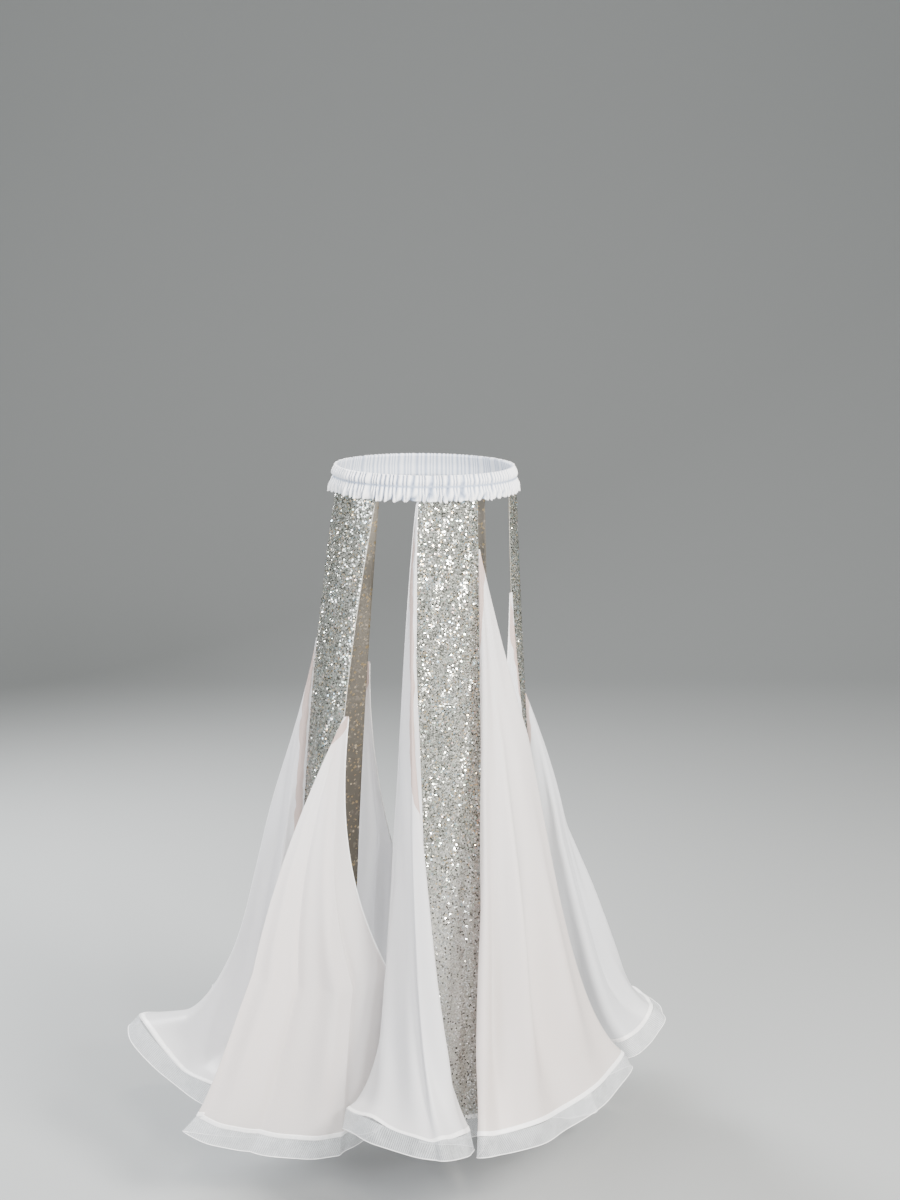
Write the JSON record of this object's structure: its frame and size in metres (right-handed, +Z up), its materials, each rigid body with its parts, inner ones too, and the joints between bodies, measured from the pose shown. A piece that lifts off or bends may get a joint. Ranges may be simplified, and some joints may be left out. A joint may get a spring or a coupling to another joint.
{
  "type": "belly dance skirt",
  "caption": "Long belly dance skirt on a gathered elastic waistband: sequin panels with open slits between them, flared chiffon godets and a stiff braided hem.",
  "frame": {"origin": "centre of the waistband, at the middle of its height", "axes": "+Z up along the body, -Y toward the front of the skirt, +X toward the wearer's left"},
  "size_m": [0.8159, 0.7448, 0.9871],
  "materials": {
    "elastic_casing": "satin",
    "sequin_cloth": "gloss",
    "chiffon": "matte",
    "horsehair_braid": "satin"
  },
  "bodies": {
    "root": {"waistband": "elastic_casing", "panel_front": "sequin_cloth", "braid_panel_front": "horsehair_braid", "panel_left": "sequin_cloth", "braid_panel_left": "horsehair_braid", "panel_back_left": "sequin_cloth", "braid_panel_back_left": "horsehair_braid", "panel_back_right": "sequin_cloth", "braid_panel_back_right": "horsehair_braid", "panel_right": "sequin_cloth", "braid_panel_right": "horsehair_braid", "godet_front_left_1": "chiffon", "braid_godet_front_left_1": "horsehair_braid", "godet_front_left_2": "chiffon", "braid_godet_front_left_2": "horsehair_braid", "godet_side_left_1": "chiffon", "braid_godet_side_left_1": "horsehair_braid", "godet_side_left_2": "chiffon", "braid_godet_side_left_2": "horsehair_braid", "godet_back_1": "chiffon", "braid_godet_back_1": "horsehair_braid", "godet_back_2": "chiffon", "braid_godet_back_2": "horsehair_braid", "godet_side_right_1": "chiffon", "braid_godet_side_right_1": "horsehair_braid", "godet_side_right_2": "chiffon", "braid_godet_side_right_2": "horsehair_braid", "godet_front_right_1": "chiffon", "braid_godet_front_right_1": "horsehair_braid", "godet_front_right_2": "chiffon", "braid_godet_front_right_2": "horsehair_braid"}
  },
  "joints": []
}
